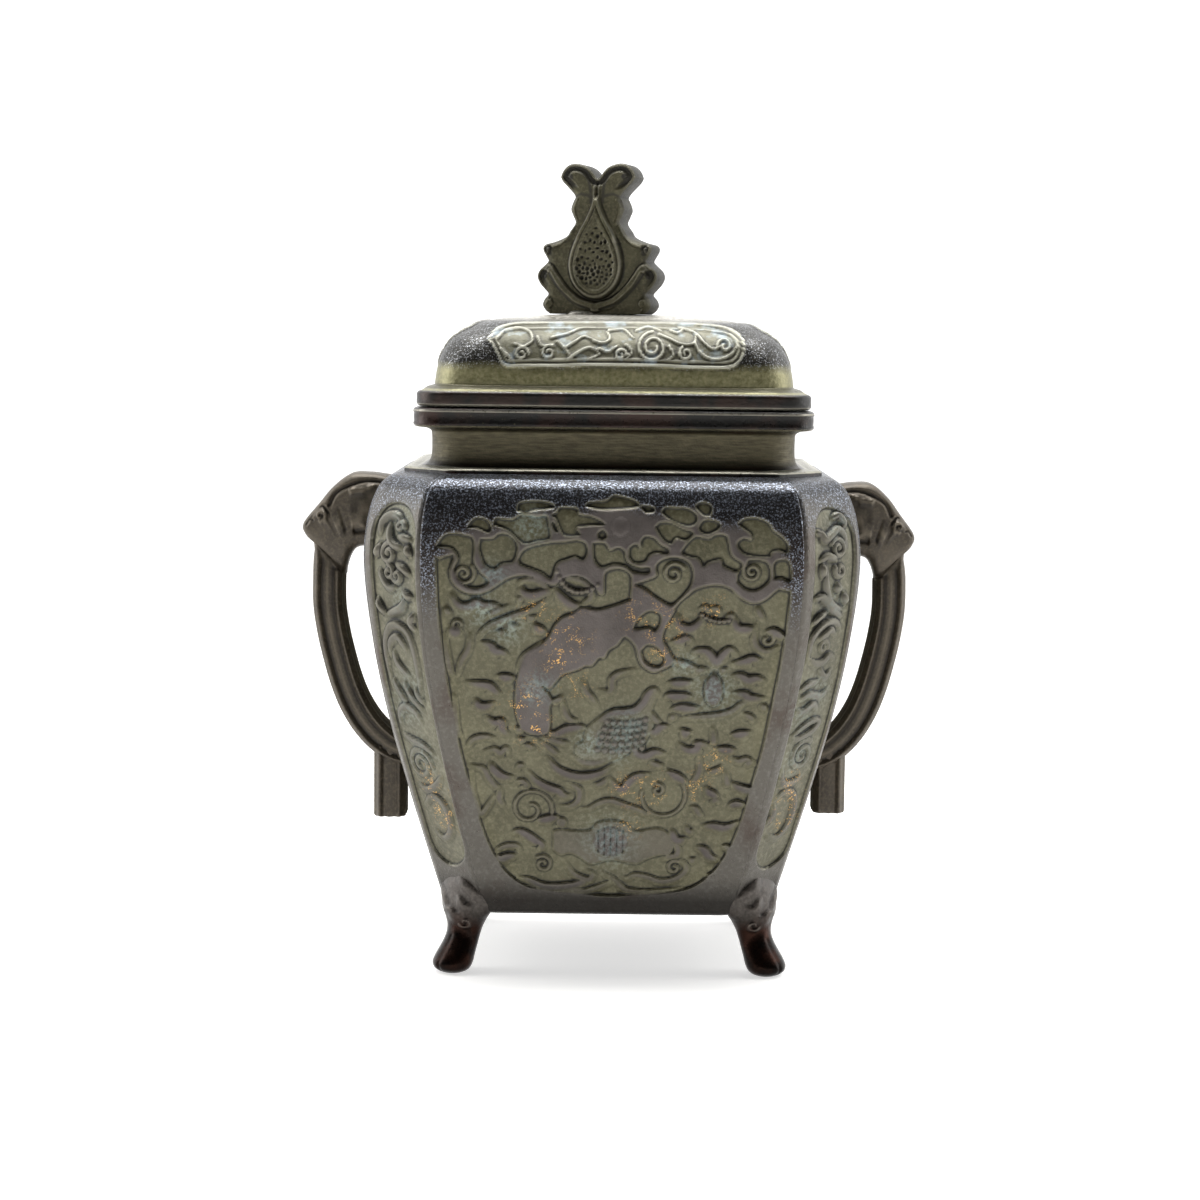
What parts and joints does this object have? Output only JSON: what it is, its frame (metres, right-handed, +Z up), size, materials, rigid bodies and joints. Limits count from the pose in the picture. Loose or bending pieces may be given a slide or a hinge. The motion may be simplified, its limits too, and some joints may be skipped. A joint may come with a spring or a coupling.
{
  "type": "incense burner",
  "caption": "Lidded cast bronze incense burner: canted square body on hoof feet, side handles with beast heads, cushion lid with a bud finial.",
  "frame": {"origin": "on the ground under the middle of the four feet", "axes": "+Z up, -Y the front face with the full ornament panel, +X the viewer's right, towards the right handle"},
  "size_m": [0.166, 0.1107, 0.2146],
  "materials": {
    "patinated_bronze": "dark olive and black patina, worn satin",
    "brown_bronze": "dark brown patina, dull satin"
  },
  "bodies": {
    "root": {"body": "patinated_bronze", "lid": "patinated_bronze", "finial": "brown_bronze", "handle_right": "brown_bronze", "handle_left": "brown_bronze"}
  },
  "joints": []
}
